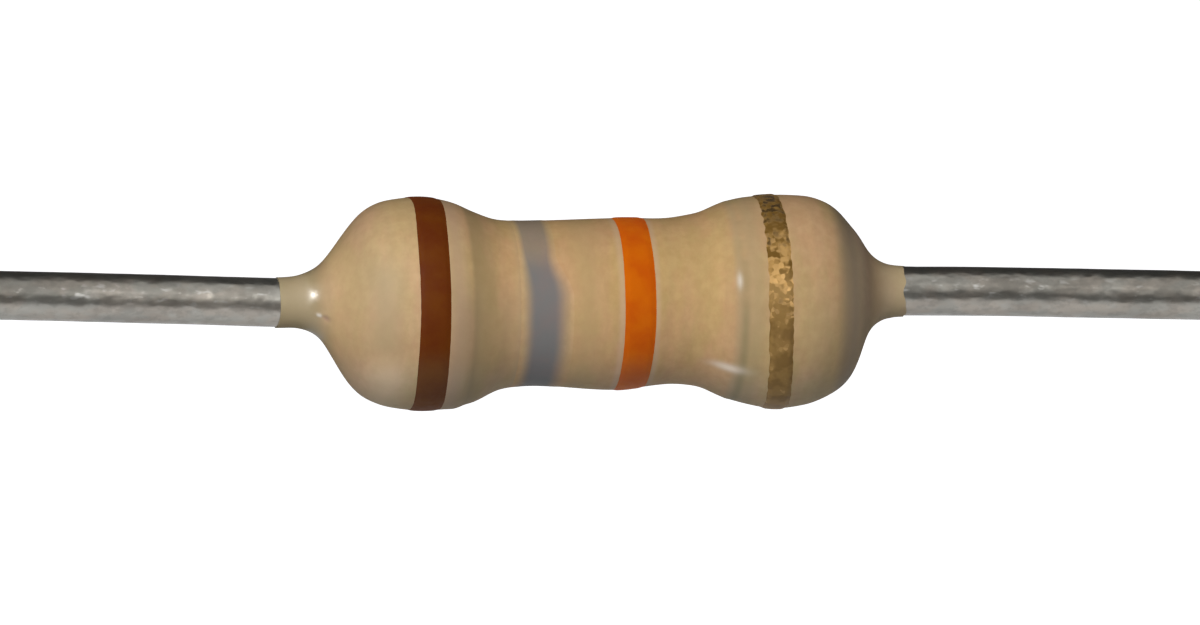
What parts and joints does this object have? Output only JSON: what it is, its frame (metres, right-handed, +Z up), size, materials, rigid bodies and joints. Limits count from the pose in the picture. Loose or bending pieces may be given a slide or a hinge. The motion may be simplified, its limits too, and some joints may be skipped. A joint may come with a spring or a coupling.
{
  "type": "axial resistor",
  "caption": "Axial carbon-film resistor: a tan epoxy body with a waist and bulging ends, painted colour rings and straight tinned wires.",
  "frame": {"origin": "middle of the ceramic core, which is the middle of the part's box", "axes": "+X along the wires towards the gold ring, +Z up"},
  "size_m": [0.026, 0.0024, 0.0026],
  "materials": {
    "ceramic": "matte",
    "carbon": "satin",
    "cap_steel": "satin",
    "tinned_wire": "satin",
    "tan_epoxy": "satin",
    "brown_paint": "satin",
    "grey_paint": "satin",
    "orange_paint": "satin",
    "gold_paint": "satin"
  },
  "bodies": {
    "root": {"ceramic_core": "ceramic", "carbon_film": "carbon", "left_end_cap": "cap_steel", "right_end_cap": "cap_steel", "left_lead": "tinned_wire", "right_lead": "tinned_wire", "epoxy_coating": "tan_epoxy", "brown_band": "brown_paint", "grey_band": "grey_paint", "orange_band": "orange_paint", "gold_band": "gold_paint"}
  },
  "joints": []
}
